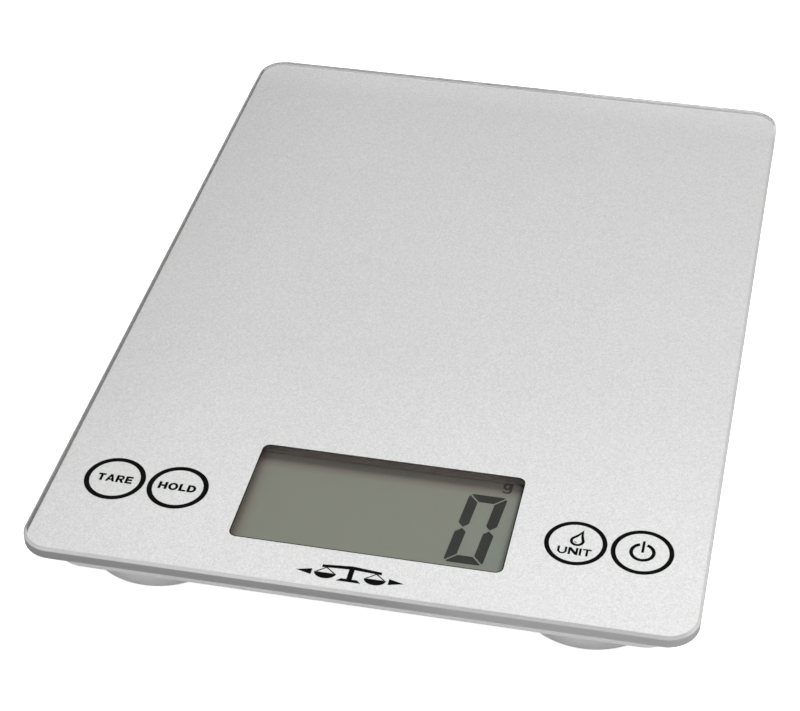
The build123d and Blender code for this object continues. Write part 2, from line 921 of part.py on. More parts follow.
gauge_y = 6.4
gauge_width = 5.0
gauge_length = 4.0
gauge_thickness = 0.2
with BuildPart() as strain_gauges:
    for corner in corners:
        with BuildSketch(corner_level(corner, cell_top)):
            with Locations((0, gauge_y)):
                Rectangle(gauge_width, gauge_length)
        extrude(amount=gauge_thickness)
strain_gauges.part.label = "strain_gauges"
export_step(strain_gauges.part, "parts/strain_gauges.step")

lead_wire_radius = 0.35
lead_pitch = 1.1
lead_z = 11.3
lead_bend = 5.0
front_lead_y = -57.0
rear_lead_y = -51.0
for corner, (side, end) in corners.items():
    with BuildPart() as load_cell_lead:
        for strand in (-lead_pitch, 0.0, lead_pitch):
            entry_y = front_lead_y + strand if end < 0 else rear_lead_y - strand
            strand_x = side * (foot_x + strand)
            with BuildLine(level(lead_z)) as strand_route:
                FilletPolyline(
                    (strand_x, end * (foot_y - gauge_y)),
                    (strand_x, entry_y),
                    (side * board_width / 2, entry_y),
                    radius=lead_bend,
                )
            with BuildSketch(Plane(strand_route.line @ 0, z_dir=strand_route.line % 0)):
                Circle(lead_wire_radius)
            sweep(path=strand_route.line)
    load_cell_lead.part.label = f"load_cell_lead_{corner}"
    export_step(load_cell_lead.part, f"parts/load_cell_lead_{corner}.step")
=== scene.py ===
import json
import math

import bmesh
import bpy
from mathutils import Matrix, Vector


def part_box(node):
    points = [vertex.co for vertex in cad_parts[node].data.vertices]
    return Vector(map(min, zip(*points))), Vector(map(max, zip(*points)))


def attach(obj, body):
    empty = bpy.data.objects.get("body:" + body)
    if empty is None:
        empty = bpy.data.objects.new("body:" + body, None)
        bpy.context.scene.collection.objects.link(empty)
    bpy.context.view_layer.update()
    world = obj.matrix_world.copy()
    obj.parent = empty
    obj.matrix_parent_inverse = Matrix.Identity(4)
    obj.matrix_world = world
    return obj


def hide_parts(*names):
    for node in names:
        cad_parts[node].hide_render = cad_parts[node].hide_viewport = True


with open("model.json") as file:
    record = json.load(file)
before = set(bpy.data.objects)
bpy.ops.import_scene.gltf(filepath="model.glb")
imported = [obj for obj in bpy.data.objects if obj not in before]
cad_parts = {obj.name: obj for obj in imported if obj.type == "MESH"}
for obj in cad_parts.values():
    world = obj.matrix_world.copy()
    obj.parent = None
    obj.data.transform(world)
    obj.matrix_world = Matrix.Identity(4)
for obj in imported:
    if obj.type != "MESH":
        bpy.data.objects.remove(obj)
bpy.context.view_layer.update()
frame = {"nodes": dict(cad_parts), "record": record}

# Slim glass counter scale. Lengths are metres; MM turns a size in millimetres into metres.
MM = 0.001
NODES = frame["nodes"]
BODY = "scale"

GLASS_LOW, GLASS_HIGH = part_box("glass_platform")
PRINT_LOW, PRINT_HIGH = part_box("printed_backing")
DISPLAY_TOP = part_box("lcd_polariser")[1].z

# Platform
CORNER_RADIUS = 8.0 * MM
CORNER_STEPS = 20
ARRIS = 0.76 * MM
EDGE_SOFTNESS = 0.12 * MM

# Rim of the glass: how much of its faces a diffuse grey covers, and that grey, which is painted shade
# and reflection of the rim
ARRIS_PAINT_SHARE = 0.60
ARRIS_PAINTED_GREY = (0.40, 0.40, 0.40)
FLAT_PAINT_SHARE = 0.78
FLAT_PAINTED_SHADE = (0.13, 0.13, 0.13)
# More of the grey covers the left rim: painted shade
LEFT_PAINT_SHARE = 0.85
RIM_ROUGHNESS = 0.08

# A face of the rim is told by how far it looks up or down: 0 is upright and 1 is flat
RIM_TILT = (0.85, 0.97)
UPRIGHT_TILT = (0.25, 0.55)

# Stretches where painted shade and light change along the rim
LEFT_RIM = (GLASS_LOW.x + 0.8 * MM, GLASS_LOW.x + 1.5 * MM)
BACK_RIM = (GLASS_HIGH.y - 16 * MM, GLASS_HIGH.y - 4 * MM)
FLAT_TO_RIGHT = (8 * MM, 26 * MM)

# Share of the painted grey's tone lost there as painted shade, from the top arris to the bottom one;
# below 0 it gains as painted light
LEFT_PAINTED_SHADE_LOSS = (0.0, 0.66)
BACK_PAINTED_LIGHT_SHADE = (-1.2, 0.15)

# Factors of painted light and shade on the tone: of the arris, by its place across the glass; of the
# flat, from left to right, and from the front to the back
ARRIS_PAINTED_LIGHT_FACTORS = [(0.41, 1.0), (0.68, 0.62), (0.978, 0.62), (0.993, 1.0)]
FLAT_PAINTED_LIGHT_ACROSS = (0.85, 1.5)
FLAT_PAINTED_LIGHT_TO_BACK = (1.0, 3.8)

# Silver print: stretches where painted light and shade change its tone, and the factor that each ends
# in
SILVER_PAINTED_LIGHT_BACK = (GLASS_HIGH.y - 14 * MM, GLASS_HIGH.y - 4 * MM)
SILVER_PAINTED_LIGHT_FRONT = (-95 * MM, -25 * MM)
SILVER_PAINTED_SHADE_LEFT = (-78 * MM, -50 * MM)
SILVER_BACK_LIGHT_FACTOR = 1.08
SILVER_FRONT_LIGHT_FACTOR = 1.09
SILVER_LEFT_SHADE_FACTOR = 0.955

# Display window, which the silver print leaves open
WINDOW_CENTRE = Vector((0.3 * MM, -83.35 * MM))
WINDOW_SIZE = Vector((67.8 * MM, 34.5 * MM))
WINDOW_RADIUS = 2.0 * MM
WINDOW_LINE = 0.2 * MM
WINDOW_LINE_OVERLAP = 0.05 * MM
WINDOW_BACK = WINDOW_CENTRE.y + WINDOW_SIZE.y / 2
WINDOW_LEFT = WINDOW_CENTRE.x - WINDOW_SIZE.x / 2

# Bands of the display film with browner painted shade at the back and left of the window, and the part
# of it under the print, painted lighter as light that does not reach there
FILM_BACK_PAINTED_SHADE = (WINDOW_BACK - 5.4 * MM, WINDOW_BACK + 0.6 * MM)
FILM_LEFT_PAINTED_SHADE = (WINDOW_LEFT - 0.9 * MM, WINDOW_LEFT + 3.1 * MM)
FILM_UNDER_PRINT_PAINTED_LIGHT = (WINDOW_BACK + 0.6 * MM, WINDOW_BACK + 2.1 * MM)
FILM_TO_RIGHT = (75 * MM, 105 * MM)

# Ink layers. They bite a little into the glass, so no air shows between the two.
INK_BITE = 0.03 * MM
INK_STEP = 0.015 * MM
SILVER_TOP = GLASS_LOW.z + INK_BITE
MARK_TOP = SILVER_TOP + INK_STEP
MARK_BOTTOM = SILVER_TOP - INK_STEP

# Keys, from left to right
KEY_RING_RADIUS = 7.09 * MM
KEY_RING_STROKES = (1.34 * MM, 1.34 * MM, 1.18 * MM, 1.18 * MM)
KEY_CENTRES = [
    Vector((-66.9 * MM, -86.35 * MM)),
    Vector((-50.5 * MM, -86.5 * MM)),
    Vector((49.85 * MM, -86.75 * MM)),
    Vector((66.1 * MM, -86.75 * MM)),
]

# Legends: piece, word, lowest and highest corner in millimetres, stem and bar over letter height
LEGENDS = (
    ("tare_legend", "TARE", (-71.35, -87.6), (-62.3, -84.95), 0.29, 0.24),
    ("hold_legend", "HOLD", (-55.5, -87.65), (-45.8, -85.05), 0.29, 0.24),
    ("unit_legend", "UNIT", (45.75, -90.85), (54.05, -88.35), 0.22, 0.19),
)

# Digit on the display and the small g behind it
DIGIT_LEFT, DIGIT_RIGHT = 18.8 * MM, 28.5 * MM
DIGIT_FRONT, DIGIT_BACK = -96.1 * MM, -71.1 * MM
DIGIT_LEAN = math.tan(math.radians(4.6))
SEGMENT_WIDTH = 2.95 * MM
SEGMENT_GAP = 0.4 * MM
SEGMENT_BLUNT = 0.8 * MM
SEGMENT_LIFT = 0.005 * MM
SEGMENT_THICKNESS = 0.02 * MM
GRAM_CORNER = Vector((28.5 * MM, -69.4 * MM))

# Emblem between the display and the front edge
EMBLEM_CENTRE = Vector((-1.1 * MM, -108.05 * MM))

# Finishes that more than one material shares
GLASS_IOR = 1.5
GLASS_SMUDGE = 0.02

# CAD nodes: edges sharper than this stay crisp
CRISP_ANGLE = math.radians(28)


# ------------------------------------------------------------------ camera, light and floor

VIEW_AZIMUTH = math.radians(11.391)
VIEW_ELEVATION = math.radians(38.496)
VIEW_ROLL = math.radians(0.004)
VIEW_DISTANCE = 577.93 * MM
VIEW_TARGET = Vector((5.715 * MM, -24.305 * MM, GLASS_HIGH.z))
VIEW_SHIFT = (-0.06, 0.0019)
FOCAL_LENGTH = 97.47
SENSOR_WIDTH = 36.0

# Floor: its height and reach, and how much it shines on the object and to the eye
FLOOR_LEVEL = -0.05 * MM
FLOOR_REACH = 6.0
FLOOR_GLOW = 0.12
FLOOR_SEEN = 0.85

# World: how much the room and its darker panel shine on the object, and the backdrop to the eye
ROOM_LEVEL = 0.30
PANEL_LEVEL = 0.04
PANEL_DIRECTION = Vector((-0.17, 0.76, 0.63)).normalized()
PANEL_EDGE = (0.80, 0.93)
BACKDROP_SEEN = 1.1

# Lamps: name, place, size in metres and power in watts, all aimed at one point of the platform
LAMP_TARGET = Vector((0.0, -0.03, 0.0))
LAMPS = (
    ("front_light", (0.28, -0.25, 0.75), (0.4, 0.4), 7.2),
    ("back_light", (-0.3, 1.2, 2.6), (0.9, 0.7), 11.0),
)


def make_camera():
    back = Vector(
        (
            math.sin(VIEW_AZIMUTH) * math.cos(VIEW_ELEVATION),
            -math.cos(VIEW_AZIMUTH) * math.cos(VIEW_ELEVATION),
            math.sin(VIEW_ELEVATION),
        )
    )
    right = Vector((0, 0, 1)).cross(back).normalized()
    up = back.cross(right).normalized()
    rolled_right = math.cos(VIEW_ROLL) * right + math.sin(VIEW_ROLL) * up
    rolled_up = math.cos(VIEW_ROLL) * up - math.sin(VIEW_ROLL) * right
    data = bpy.data.cameras.new("photo_camera")
    data.sensor_width = SENSOR_WIDTH
    data.lens = FOCAL_LENGTH
    data.shift_x, data.shift_y = VIEW_SHIFT
    data.clip_start = 0.01
    data.clip_end = 20
    camera = bpy.data.objects.new("photo_camera", data)
    bpy.context.scene.collection.objects.link(camera)
    axes = Matrix((rolled_right, rolled_up, back)).transposed()
    camera.matrix_world = Matrix.Translation(VIEW_TARGET + back * VIEW_DISTANCE) @ axes.to_4x4()
    bpy.context.scene.camera = camera


def area_light(name, place, size, power):
    data = bpy.data.lights.new(name, "AREA")
    data.shape = "RECTANGLE"
    data.size, data.size_y = size
    data.energy = power
    light = bpy.data.objects.new(name, data)
    light.location = place
    light.rotation_mode = "QUATERNION"
    light.rotation_quaternion = (LAMP_TARGET - Vector(place)).to_track_quat("-Z", "Y")
    bpy.context.scene.collection.objects.link(light)


def make_world():
    """White to the eye; for reflections and light, a pale studio with a dark backdrop panel."""
    world = bpy.data.worlds.new("studio")
    world.use_nodes = True
    tree = world.node_tree
    background = tree.nodes["Background"]
    direction = tree.nodes.new("ShaderNodeTexCoord").outputs["Generated"]
    panel = tree.nodes.new("ShaderNodeVectorMath")
    panel.operation = "DOT_PRODUCT"
    tree.links.new(direction, panel.inputs[0])
    panel.inputs[1].default_value = PANEL_DIRECTION
    shade = tree.nodes.new("ShaderNodeMapRange")
    shade.interpolation_type = "SMOOTHSTEP"
    shade.inputs["From Min"].default_value = PANEL_EDGE[0]
    shade.inputs["From Max"].default_value = PANEL_EDGE[1]
    shade.inputs["To Min"].default_value = ROOM_LEVEL
    shade.inputs["To Max"].default_value = PANEL_LEVEL
    tree.links.new(panel.outputs["Value"], shade.inputs["Value"])
    path = tree.nodes.new("ShaderNodeLightPath")
    level = tree.nodes.new("ShaderNodeMix")
    tree.links.new(path.outputs["Is Camera Ray"], level.inputs[0])
    tree.links.new(shade.outputs["Result"], level.inputs[2])
    level.inputs[3].default_value = BACKDROP_SEEN
    background.inputs["Color"].default_value = (1.0, 1.0, 1.0, 1.0)
    tree.links.new(level.outputs[0], background.inputs["Strength"])
    bpy.context.scene.world = world


# ------------------------------------------------------------------ node helpers


class Surface:
    """A node material round one Principled shader, with short calls for the nodes that feed it."""

    def __init__(self, name):
        self.material = bpy.data.materials.new(name)
        self.material.use_nodes = True
        self.tree = self.material.node_tree
        self.tree.nodes.clear()
        self.output = self.add("ShaderNodeOutputMaterial")
        self.shader = self.add("ShaderNodeBsdfPrincipled")
        self.link(self.shader.outputs["BSDF"], self.output.inputs["Surface"])
        self.place = self.add("ShaderNodeTexCoord").outputs["Object"]

    def add(self, kind, **settings):
        node = self.tree.nodes.new(kind)
        for key, value in settings.items():
            setattr(node, key, value)
        return node

    def link(self, source, target):
        self.tree.links.new(source, target)

    def set(self, **values):
        for key, value in values.items():
            self.shader.inputs[key.replace("_", " ")].default_value = value

    def feed(self, source, socket):
        self.link(source, self.shader.inputs[socket])

    def noise(self, scale, detail=3.0, stretch=(1, 1, 1), roughness=0.55):
        mapping = self.add("ShaderNodeMapping")
        mapping.inputs["Scale"].default_value = stretch
        self.link(self.place, mapping.inputs["Vector"])
        texture = self.add("ShaderNodeTexNoise")
        texture.inputs["Scale"].default_value = scale
        texture.inputs["Detail"].default_value = detail
        texture.inputs["Roughness"].default_value = roughness
        self.link(mapping.outputs["Vector"], texture.inputs["Vector"])
        return texture.outputs["Fac"]

    def cells(self, scale, output="Color"):
        texture = self.add("ShaderNodeTexVoronoi")
        texture.inputs["Scale"].default_value = scale
        self.link(self.place, texture.inputs["Vector"])
        return texture.outputs[output]

    def ramp(self, source, stops):
        """Colour ramp; stops are (position, (r, g, b)) or (position, value)."""
        node = self.add("ShaderNodeValToRGB")
        elements = node.color_ramp.elements
        while len(elements) < len(stops):
            elements.new(0.5)
        for element, (position, colour) in zip(elements, stops):
            element.position = position
            rgb = colour if isinstance(colour, tuple) else (colour,) * 3
            element.color = (*rgb, 1.0)
        self.link(source, node.inputs["Fac"])
        return node.outputs["Color"]

    def math(self, operation, first, second=None):
        node = self.add("ShaderNodeMath", operation=operation)
        for index, value in enumerate((first, second)):
            if value is None:
                continue
            if isinstance(value, (int, float)):
                node.inputs[index].default_value = value
            else:
                self.link(value, node.inputs[index])
        return node.outputs[0]

    def spread(self, source, low, high, from_low=0.3, from_high=0.7):
        """Value of source moved from its usual range to low..high."""
        node = self.add("ShaderNodeMapRange")
        node.inputs["From Min"].default_value = from_low
        node.inputs["From Max"].default_value = from_high
        node.inputs["To Min"].default_value = low
        node.inputs["To Max"].default_value = high
        self.link(source, node.inputs["Value"])
        return node.outputs["Result"]

    def mix(self, factor, first, second, blend="MIX"):
        node = self.add("ShaderNodeMix", data_type="RGBA", blend_type=blend)
        for index, value in ((0, factor), (6, first), (7, second)):
            socket = node.inputs[index]
            if isinstance(value, tuple):
                socket.default_value = (*value, 1.0)
            elif isinstance(value, (int, float)):
                socket.default_value = value
            else:
                self.link(value, socket)
        return node.outputs[2]

    def bump(self, source, strength, distance):
        node = self.add("ShaderNodeBump")
        node.inputs["Strength"].default_value = strength
        node.inputs["Distance"].default_value = distance
        self.link(source, node.inputs["Height"])
        self.feed(node.outputs["Normal"], "Normal")

    def axis(self, name):
        node = self.add("ShaderNodeSeparateXYZ")
        self.link(self.place, node.inputs[0])
        return node.outputs[name]


# ------------------------------------------------------------------ materials


def open_to_soft_light(s, surface, tint):
    """Lets the lamps and soft light through the glass to what is below it."""
    clear = s.add("ShaderNodeBsdfTransparent")
    clear.inputs["Color"].default_value = (*tint, 1.0)
    path = s.add("ShaderNodeLightPath")
    passes = s.math("MAXIMUM", path.outputs["Is Shadow Ray"], path.outputs["Is Diffuse Ray"])
    blend = s.add("ShaderNodeMixShader")
    s.link(passes, blend.inputs["Fac"])
    s.link(surface, blend.inputs[1])
    s.link(clear.outputs["BSDF"], blend.inputs[2])
    s.link(blend.outputs["Shader"], s.output.inputs["Surface"])
    return s.material


def display_glass():
    s = Surface("display_glass")
    tint = (0.95, 0.96, 0.95)
    s.set(Base_Color=(*tint, 1.0), Transmission_Weight=1.0, IOR=GLASS_IOR)
    s.feed(s.spread(s.noise(60.0), 0.0, GLASS_SMUDGE), "Roughness")
    return open_to_soft_light(s, s.shader.outputs["BSDF"], tint)


def rim_painted_grey(s, upright, low_arris, at_left, at_back):
    """Painted grey of the rim, its shade and reflections, which painted light and shade change along
    the edges and from top to bottom.
    """
    # Painted shade at the left rim, painted light and shade at the back, painted light across the
    # glass
    left_painted_loss = s.math("MULTIPLY", at_left, s.spread(low_arris, *LEFT_PAINTED_SHADE_LOSS, 0.0, 1.0))
    back_painted_loss = s.math("MULTIPLY", at_back, s.spread(low_arris, *BACK_PAINTED_LIGHT_SHADE, 0.0, 1.0))
    left_kept = s.math("SUBTRACT", 1.0, left_painted_loss)
    back_kept = s.math("SUBTRACT", 1.0, back_painted_loss)
    across = s.spread(s.axis("X"), 0.0, 1.0, GLASS_LOW.x, GLASS_HIGH.x)
    arris_painted_across = s.ramp(across, ARRIS_PAINTED_LIGHT_FACTORS)
    arris_shade = s.math("MULTIPLY", s.math("MULTIPLY", left_kept, back_kept), arris_painted_across)
    flat_painted_across = s.spread(s.axis("X"), *FLAT_PAINTED_LIGHT_ACROSS, *FLAT_TO_RIGHT)
    flat_painted_back = s.spread(at_back, *FLAT_PAINTED_LIGHT_TO_BACK, 0.0, 1.0)
    flat_shade = s.math("MULTIPLY", flat_painted_back, flat_painted_across)
    arris_painted_tone = s.mix(1.0, ARRIS_PAINTED_GREY, arris_shade, "MULTIPLY")
    flat_painted_tone = s.mix(1.0, FLAT_PAINTED_SHADE, flat_shade, "MULTIPLY")
    speckle = s.ramp(s.noise(1800.0), [(0.3, 0.93), (0.7, 1.0)])
    return s.mix(1.0, s.mix(upright, arris_painted_tone, flat_painted_tone), speckle, "MULTIPLY")


def platform_glass():
    """Clear glass with faint smudges and a slightly rough rim round its broad faces, part-covered by a
    diffuse grey that is painted shade and reflection.
    """
    s = Surface("platform_glass")
    tint = (0.985, 0.99, 0.985)
    s.set(Base_Color=(*tint, 1.0), Transmission_Weight=1.0, IOR=GLASS_IOR)
    facing = s.add("ShaderNodeSeparateXYZ")
    s.link(s.add("ShaderNodeNewGeometry").outputs["Normal"], facing.inputs[0])
    tilt = s.math("ABSOLUTE", facing.outputs["Z"])
    rim = s.spread(tilt, 1.0, 0.0, *RIM_TILT)
    upright = s.spread(tilt, 1.0, 0.0, *UPRIGHT_TILT)
    at_left = s.spread(s.axis("X"), 1.0, 0.0, *LEFT_RIM)
    at_back = s.spread(s.axis("Y"), 0.0, 1.0, *BACK_RIM)
    low_arris = s.spread(s.axis("Z"), 1.0, 0.0, GLASS_LOW.z + ARRIS, GLASS_HIGH.z - ARRIS)
    smudges = s.spread(s.noise(60.0), 0.0, GLASS_SMUDGE)
    s.feed(s.math("ADD", smudges, s.math("MULTIPLY", rim, RIM_ROUGHNESS)), "Roughness")
    # Diffuse grey over the rim faces: painted shade and reflection of the rim
    rim_paint_layer = s.add("ShaderNodeBsdfDiffuse")
    s.link(rim_painted_grey(s, upright, low_arris, at_left, at_back), rim_paint_layer.inputs["Color"])
    plain_paint_share = s.spread(upright, ARRIS_PAINT_SHARE, FLAT_PAINT_SHARE, 0.0, 1.0)
    paint_share = s.math("MAXIMUM", plain_paint_share, s.math("MULTIPLY", at_left, LEFT_PAINT_SHARE))
    rim_with_paint = s.add("ShaderNodeMixShader")
    s.link(s.math("MULTIPLY", rim, paint_share), rim_with_paint.inputs["Fac"])
    s.link(s.shader.outputs["BSDF"], rim_with_paint.inputs[1])
    s.link(rim_paint_layer.outputs["BSDF"], rim_with_paint.inputs[2])
    return open_to_soft_light(s, rim_with_paint.outputs["Shader"], tint)


def silver_ink():
    """Silver print with fine metal flakes, with painted light a touch lighter at front and back and
    painted shade darker at left.
    """
    s = Surface("silver_ink")
    flake = s.spread(s.cells(3000.0), 0.0, 1.0, 0.0, 1.0)
    grain = s.noise(2600.0, 2.0)
    cloud = s.noise(35.0, 3.0)
    tone = s.math("ADD", s.math("MULTIPLY", flake, 0.5), s.math("MULTIPLY", grain, 0.5))
    base = s.ramp(tone, [(0.25, 0.49), (0.5, 0.56), (0.75, 0.63)])
    veil = s.ramp(cloud, [(0.3, 0.985), (0.7, 1.0)])
    # Painted light towards the front and back edges and painted shade towards the left, in the print's
    # colour
    painted_tone_to_back = s.spread(s.axis("Y"), 1.0, SILVER_BACK_LIGHT_FACTOR, *SILVER_PAINTED_LIGHT_BACK)
    painted_light_to_front = s.spread(s.axis("Y"), SILVER_FRONT_LIGHT_FACTOR, 1.0, *SILVER_PAINTED_LIGHT_FRONT)
    painted_shade_to_left = s.spread(s.axis("X"), SILVER_LEFT_SHADE_FACTOR, 1.0, *SILVER_PAINTED_SHADE_LEFT)
    painted_light_and_shade = s.math("MULTIPLY", s.math("MULTIPLY", painted_tone_to_back, painted_light_to_front), painted_shade_to_left)
    s.feed(s.mix(1.0, s.mix(1.0, base, veil, "MULTIPLY"), painted_light_and_shade, "MULTIPLY"), "Base Color")
    s.feed(s.spread(flake, 0.42, 0.56, 0.0, 1.0), "Roughness")
    s.set(Metallic=0.08, Specular_IOR_Level=0.0)
    s.bump(tone, 0.25, 0.02 * MM)
    return s.material


def black_ink():
    s = Surface("black_ink")
    s.feed(s.ramp(s.noise(900.0), [(0.3, 0.002), (0.7, 0.005)]), "Base Color")
    s.feed(s.spread(s.noise(1500.0), 0.35, 0.5), "Roughness")
    s.set(Specular_IOR_Level=0.0)
    return s.material


def display_film():
    """Grey-green film of a reflective display, bluer at front right, with browner painted shade at
    back and left and painted light under the print.
    """
    s = Surface("display_film")
    weave = s.noise(1800.0, 2.0)
    olive = s.ramp(weave, [(0.3, (0.174, 0.179, 0.148)), (0.7, (0.184, 0.189, 0.156))])
    blue = s.ramp(weave, [(0.3, (0.150, 0.173, 0.153)), (0.7, (0.160, 0.183, 0.163))])
    lean = s.math("SUBTRACT", s.axis("X"), s.math("MULTIPLY", s.axis("Y"), 0.7))
    amount = s.spread(lean, 0.0, 0.8, *FILM_TO_RIGHT)
    face = s.mix(amount, olive, blue)
    plain = (1.0, 1.0, 1.0)
    # Painted shade, tinted brown, at the back and left of the window, where the print's edge shades
    # the recessed film
    painted_tone_to_back = s.spread(s.axis("Y"), 0.0, 1.0, *FILM_BACK_PAINTED_SHADE)
    back_painted_shade = s.ramp(painted_tone_to_back, [(0.0, plain), (0.35, (0.83, 0.74, 0.75)), (0.6, (0.46, 0.405, 0.43))])
    painted_shade_to_left = s.spread(s.axis("X"), 1.0, 0.0, *FILM_LEFT_PAINTED_SHADE)
    left_painted_shade = s.ramp(painted_shade_to_left, [(0.0, plain), (0.45, (0.90, 0.85, 0.85)), (0.85, (0.55, 0.47, 0.49))])
    film_with_painted_shade = s.mix(1.0, s.mix(1.0, face, back_painted_shade, "MULTIPLY"), left_painted_shade, "MULTIPLY")
    # Painted light on the film under the print, which the lamps barely reach
    painted_light_under_print = s.spread(s.axis("Y"), 0.0, 1.0, *FILM_UNDER_PRINT_PAINTED_LIGHT)
    s.feed(s.mix(painted_light_under_print, film_with_painted_shade, (0.84, 0.72, 0.70)), "Base Color")
    s.feed(s.spread(s.noise(400.0), 0.42, 0.5), "Roughness")
    s.set(Specular_IOR_Level=0.25)
    return s.material


def segment_ink():
    s = Surface("display_segment")
    dark, light = (0.017, 0.017, 0.015), (0.021, 0.021, 0.019)
    s.feed(s.ramp(s.noise(1800.0), [(0.3, dark), (0.7, light)]), "Base Color")
    s.feed(s.spread(s.noise(400.0), 0.45, 0.55), "Roughness")
    s.set(Specular_IOR_Level=0.2)
    return s.material


def moulded_plastic(name, colour, roughness=0.5, texture=0.35):
    """Injection-moulded plastic with a fine spark-eroded skin."""
    s = Surface(name)
    light = tuple(min(1.0, c * 1.05) for c in colour)
    dark = tuple(c * 0.94 for c in colour)
    s.feed(s.ramp(s.noise(45.0, 4.0), [(0.3, dark), (0.7, light)]), "Base Color")
    s.feed(s.spread(s.noise(900.0), roughness - 0.06, roughness + 0.08), "Roughness")
    s.bump(s.noise(2200.0, 4.0, roughness=0.65), texture, 0.03 * MM)
    return s.material


def soft_rubber(name, colour):
    s = Surface(name)
    light = tuple(min(1.0, c * 1.15) for c in colour)
    s.feed(s.ramp(s.noise(300.0, 5.0), [(0.3, colour), (0.75, light)]), "Base Color")
    s.feed(s.spread(s.noise(1200.0), 0.65, 0.85), "Roughness")
    s.bump(s.noise(1600.0, 5.0), 0.5, 0.04 * MM)
    return s.material


def plated_metal(name, colour, roughness, stretch=(1, 1, 1)):
    s = Surface(name)
    dark = tuple(c * 0.85 for c in colour)
    streaks = s.noise(700.0, 4.0, stretch)
    s.feed(s.ramp(streaks, [(0.3, dark), (0.7, colour)]), "Base Color")
    s.feed(s.spread(streaks, roughness - 0.06, roughness + 0.1), "Roughness")
    s.set(Metallic=1.0)
    s.bump(streaks, 0.15, 0.01 * MM)
    return s.material


def circuit_board():
    """Green solder resist over copper tracks, which show as lighter bands and dots."""
    s = Surface("circuit_board")
    tracks = s.add("ShaderNodeTexBrick")
    tracks.inputs["Scale"].default_value = 260.0
    tracks.inputs["Mortar Size"].default_value = 0.06
    s.link(s.place, tracks.inputs["Vector"])
    green = s.ramp(s.noise(120.0), [(0.3, (0.010, 0.085, 0.030)), (0.7, (0.014, 0.115, 0.042))])
    s.feed(s.mix(tracks.outputs["Fac"], green, (0.035, 0.20, 0.07)), "Base Color")
    s.feed(s.spread(s.noise(500.0), 0.28, 0.4), "Roughness")
    s.bump(tracks.outputs["Fac"], 0.3, 0.03 * MM)
    return s.material


def amber_film():
    s = Surface("amber_film")
    dark, light = (0.36, 0.14, 0.02), (0.46, 0.20, 0.035)
    s.feed(s.ramp(s.noise(250.0), [(0.3, dark), (0.7, light)]), "Base Color")
    s.feed(s.spread(s.noise(700.0), 0.2, 0.34), "Roughness")
    s.bump(s.noise(500.0), 0.12, 0.02 * MM)
    return s.material


def layered_rubber():
    """Thin black and pale layers across the contact strip."""
    s = Surface("layered_rubber")
    wave = s.add("ShaderNodeTexWave", bands_direction="X")
    wave.inputs["Scale"].default_value = 1200.0
    s.link(s.place, wave.inputs["Vector"])
    dark, pale = (0.02, 0.02, 0.02), (0.45, 0.42, 0.38)
    s.feed(s.ramp(wave.outputs["Fac"], [(0.35, dark), (0.65, pale)]), "Base Color")
    s.feed(s.spread(s.noise(900.0), 0.6, 0.75), "Roughness")
    return s.material


def foam_tape():
    s = Surface("foam_tape")
    s.feed(s.ramp(s.cells(1600.0, output="Distance"), [(0.1, 0.55), (0.6, 0.75)]), "Base Color")
    s.feed(s.spread(s.noise(800.0), 0.75, 0.9), "Roughness")
    s.bump(s.cells(1600.0, output="Distance"), 0.4, 0.05 * MM)
    return s.material


def epoxy():
    s = Surface("chip_epoxy")
    s.feed(s.ramp(s.noise(400.0), [(0.3, 0.006), (0.7, 0.014)]), "Base Color")
    s.feed(s.spread(s.noise(350.0), 0.12, 0.3), "Roughness")
    s.bump(s.noise(180.0), 0.2, 0.1 * MM)
    return s.material


def floor_paper():
    """Pale sweep that reads as white from above and lets the underside be seen from below."""
    s = Surface("floor_paper")
    s.feed(s.ramp(s.noise(3.0), [(0.3, 0.80), (0.7, 0.82)]), "Base Color")
    s.feed(s.spread(s.noise(40.0), 0.85, 0.95), "Roughness")
    s.set(Specular_IOR_Level=0.0)
    s.set(Emission_Color=(1.0, 1.0, 1.0, 1.0))
    path = s.add("ShaderNodeLightPath")
    glow = s.spread(path.outputs["Is Camera Ray"], FLOOR_GLOW, FLOOR_SEEN, 0.0, 1.0)
    s.feed(glow, "Emission Strength")
    below = s.add("ShaderNodeNewGeometry").outputs["Backfacing"]
    open_side = s.add("ShaderNodeMixShader")
    s.link(below, open_side.inputs["Fac"])
    s.link(s.shader.outputs["BSDF"], open_side.inputs[1])
    s.link(s.add("ShaderNodeBsdfTransparent").outputs["BSDF"], open_side.inputs[2])
    s.link(open_side.outputs["Shader"], s.output.inputs["Surface"])
    return s.material


# ------------------------------------------------------------------ mesh helpers


def new_piece(name, mesh, material):
    mesh.materials.append(material)
    piece = bpy.data.objects.new(name, mesh)
    bpy.context.scene.collection.objects.link(piece)
    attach(piece, BODY)
    return piece


def rounded_outline(half_size, radius, centre=(0.0, 0.0), steps=CORNER_STEPS):
    """Counter-clockwise points of a rounded rectangle."""
    points = []
    for quarter, (sign_x, sign_y) in enumerate(((1, 1), (-1, 1), (-1, -1), (1, -1))):
        for step in range(steps + 1):
            angle = math.pi / 2 * (quarter + step / steps)
            x = centre[0] + sign_x * (half_size[0] - radius) + radius * math.cos(angle)
            y = centre[1] + sign_y * (half_size[1] - radius) + radius * math.sin(angle)
            points.append((x, y))
    return points


def circle_outline(centre, radius, steps=96):
    angles = [2 * math.pi * step / steps for step in range(steps)]
    return [(centre[0] + radius * math.cos(a), centre[1] + radius * math.sin(a)) for a in angles]


def arc_points(centre, radius, first, last, steps=32):
    angles = [first + (last - first) * step / steps for step in range(steps + 1)]
    return [(centre[0] + radius * math.cos(a), centre[1] + radius * math.sin(a)) for a in angles]


